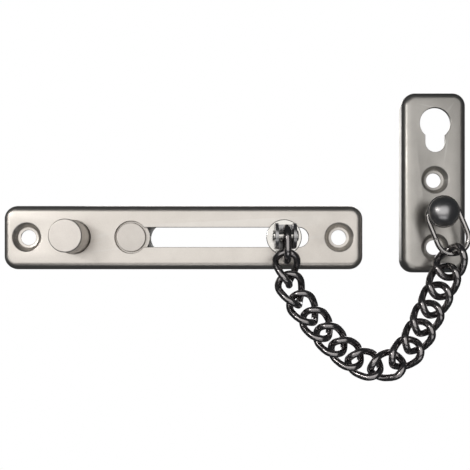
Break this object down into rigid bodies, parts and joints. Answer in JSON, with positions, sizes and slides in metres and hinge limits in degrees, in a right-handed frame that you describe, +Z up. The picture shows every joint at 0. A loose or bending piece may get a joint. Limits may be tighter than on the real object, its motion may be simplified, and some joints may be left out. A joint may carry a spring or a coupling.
{
  "type": "door chain guard",
  "caption": "Door chain guard: a slotted plate with a push-button lock and a sliding stud, joined by a curb chain and an oval ring to a ball stud on a jamb plate.",
  "frame": {"origin": "centre of the slot plate's length and width, on the door face that both plates are screwed to", "axes": "+X along the slot from the button towards the jamb plate, +Y into the door, +Z up; the fronts of the plates look along -Y"},
  "size_m": [0.1844, 0.0205, 0.1134],
  "materials": {
    "satin_nickel": "satin nickel plate, fine grain",
    "satin_nickel_jamb": "satin nickel plate, fine grain, a shade darker",
    "button_nickel": "satin nickel, turned face",
    "disc_nickel": "satin nickel, turned face",
    "bright_nickel": "polished nickel plate",
    "black_nickel": "polished dark nickel plate",
    "chain_steel": "polished dark plated steel wire",
    "ring_steel": "polished plated steel wire",
    "zinc_steel": "dull zinc plate",
    "spring_steel": "drawn spring wire"
  },
  "bodies": {
    "mounting": {"slot_plate": "satin_nickel", "jamb_plate": "satin_nickel_jamb", "lock_retainer": "zinc_steel", "retainer_post_1": "zinc_steel", "retainer_post_2": "zinc_steel", "retainer_post_3": "zinc_steel", "retainer_post_4": "zinc_steel", "button_spring": "spring_steel", "disc_spring": "spring_steel", "jamb_stud": "black_nickel", "stud_washer": "bright_nickel"},
    "release": {"release_button": "button_nickel", "lock_disc": "disc_nickel", "lock_bridge": "zinc_steel"},
    "slider": {"slider_stud": "bright_nickel", "slider_flange": "bright_nickel"},
    "clevis": {"slider_clevis": "black_nickel", "clevis_pin": "bright_nickel"},
    "link_01": {"chain_link_01": "chain_steel"},
    "link_02": {"chain_link_02": "chain_steel"},
    "link_03": {"chain_link_03": "chain_steel"},
    "link_04": {"chain_link_04": "chain_steel"},
    "link_05": {"chain_link_05": "chain_steel"},
    "link_06": {"chain_link_06": "chain_steel"},
    "link_07": {"chain_link_07": "chain_steel"},
    "link_08": {"chain_link_08": "chain_steel"},
    "link_09": {"chain_link_09": "chain_steel"},
    "link_10": {"chain_link_10": "chain_steel"},
    "link_11": {"chain_link_11": "chain_steel"},
    "link_12": {"chain_link_12": "chain_steel"},
    "link_13": {"chain_link_13": "chain_steel"},
    "link_14": {"chain_link_14": "chain_steel"},
    "link_15": {"chain_link_15": "chain_steel"},
    "ring": {"stud_ring": "ring_steel"}
  },
  "joints": [
    {"name": "release_press", "type": "slide", "parent": "mounting", "child": "release", "axis": [0, 1, 0], "range_m": [0, 0.00235], "stiffness_N_per_m": 400, "springref_m": -0.0012, "deforming": ["button_spring", "disc_spring"]},
    {"name": "slider_slide", "type": "slide", "parent": "mounting", "child": "slider", "axis": [1, 0, 0], "range_m": [-0.045, 0.0059]},
    {"name": "clevis_swivel", "type": "hinge", "parent": "slider", "child": "clevis", "pos_m": [0.04, -0.0074, 0], "axis": [0, -1, 0], "range_deg": [-5.8, 42.8]},
    {"name": "link_01_swing", "type": "hinge", "parent": "clevis", "child": "link_01", "pos_m": [0.04, -0.0144, 0], "axis": [0, -1, 0], "range_deg": [-0.5, 2.5]},
    {"name": "link_02_swing", "type": "hinge", "parent": "link_01", "child": "link_02", "pos_m": [0.04055, -0.01431, -0.00785], "axis": [0, -1, 0], "range_deg": [-4.5, 0.8]},
    {"name": "link_03_swing", "type": "hinge", "parent": "link_02", "child": "link_03", "pos_m": [0.04156, -0.01423, -0.01654], "axis": [0, -1, 0], "range_deg": [-14.7, 2.1]},
    {"name": "link_04_swing", "type": "hinge", "parent": "link_03", "child": "link_04", "pos_m": [0.04485, -0.01414, -0.02407], "axis": [0, -1, 0], "range_deg": [-8.6, 1.3]},
    {"name": "link_05_swing", "type": "hinge", "parent": "link_04", "child": "link_05", "pos_m": [0.04966, -0.01406, -0.03057], "axis": [0, -1, 0], "range_deg": [-4.1, 0.8]},
    {"name": "link_06_swing", "type": "hinge", "parent": "link_05", "child": "link_06", "pos_m": [0.05477, -0.01397, -0.03646], "axis": [0, -1, 0], "range_deg": [-3.9, 0.7]},
    {"name": "link_07_swing", "type": "hinge", "parent": "link_06", "child": "link_07", "pos_m": [0.06033, -0.01389, -0.04191], "axis": [0, -1, 0], "range_deg": [-4.5, 0.8]},
    {"name": "link_08_swing", "type": "hinge", "parent": "link_07", "child": "link_08", "pos_m": [0.06666, -0.0138, -0.0465], "axis": [0, -1, 0], "range_deg": [-6.6, 1.1]},
    {"name": "ring_swing", "type": "hinge", "parent": "mounting", "child": "ring", "pos_m": [0.1, -0.0126, 0.0092], "axis": [0, -1, 0], "range_deg": [-44.4, 6]},
    {"name": "link_15_swing", "type": "hinge", "parent": "ring", "child": "link_15", "pos_m": [0.10597, -0.0126, -0.00515], "axis": [0, -1, 0], "range_deg": [-3.3, 23.3]},
    {"name": "link_14_swing", "type": "hinge", "parent": "link_15", "child": "link_14", "pos_m": [0.10165, -0.01329, -0.01351], "axis": [0, -1, 0], "range_deg": [-4.3, 0.8]},
    {"name": "link_13_swing", "type": "hinge", "parent": "link_14", "child": "link_13", "pos_m": [0.09855, -0.01337, -0.02083], "axis": [0, -1, 0], "range_deg": [-0.8, 4.4]},
    {"name": "link_12_swing", "type": "hinge", "parent": "link_13", "child": "link_12", "pos_m": [0.09525, -0.01346, -0.02789], "axis": [0, -1, 0], "range_deg": [-4.2, 0.8]},
    {"name": "link_11_swing", "type": "hinge", "parent": "link_12", "child": "link_11", "pos_m": [0.09184, -0.01354, -0.03491], "axis": [0, -1, 0], "range_deg": [-0.7, 4]},
    {"name": "link_10_swing", "type": "hinge", "parent": "link_11", "child": "link_10", "pos_m": [0.08781, -0.01363, -0.04161], "axis": [0, -1, 0], "range_deg": [-0.8, 4.5]},
    {"name": "link_09_swing", "type": "hinge", "parent": "link_10", "child": "link_09", "pos_m": [0.08195, -0.01371, -0.04707], "axis": [0, -1, 0], "range_deg": [-1.2, 7.6]}
  ],
  "couplings": [
    {"joint": "clevis_swivel", "follows": "slider_slide", "rad_per_m": -16.493},
    {"joint": "link_01_swing", "follows": "slider_slide", "rad_per_m": -0.868},
    {"joint": "link_02_swing", "follows": "slider_slide", "rad_per_m": 1.6337},
    {"joint": "link_03_swing", "follows": "slider_slide", "rad_per_m": 5.5916},
    {"joint": "link_04_swing", "follows": "slider_slide", "rad_per_m": 3.2204},
    {"joint": "link_05_swing", "follows": "slider_slide", "rad_per_m": 1.4842},
    {"joint": "link_06_swing", "follows": "slider_slide", "rad_per_m": 1.4},
    {"joint": "link_07_swing", "follows": "slider_slide", "rad_per_m": 1.6596},
    {"joint": "link_08_swing", "follows": "slider_slide", "rad_per_m": 2.4466},
    {"joint": "ring_swing", "follows": "slider_slide", "rad_per_m": 17.119},
    {"joint": "link_15_swing", "follows": "slider_slide", "rad_per_m": -8.93},
    {"joint": "link_14_swing", "follows": "slider_slide", "rad_per_m": 1.5608},
    {"joint": "link_13_swing", "follows": "slider_slide", "rad_per_m": -1.6165},
    {"joint": "link_12_swing", "follows": "slider_slide", "rad_per_m": 1.5293},
    {"joint": "link_11_swing", "follows": "slider_slide", "rad_per_m": -1.4645},
    {"joint": "link_10_swing", "follows": "slider_slide", "rad_per_m": -1.6522},
    {"joint": "link_09_swing", "follows": "slider_slide", "rad_per_m": -2.8585}
  ]
}
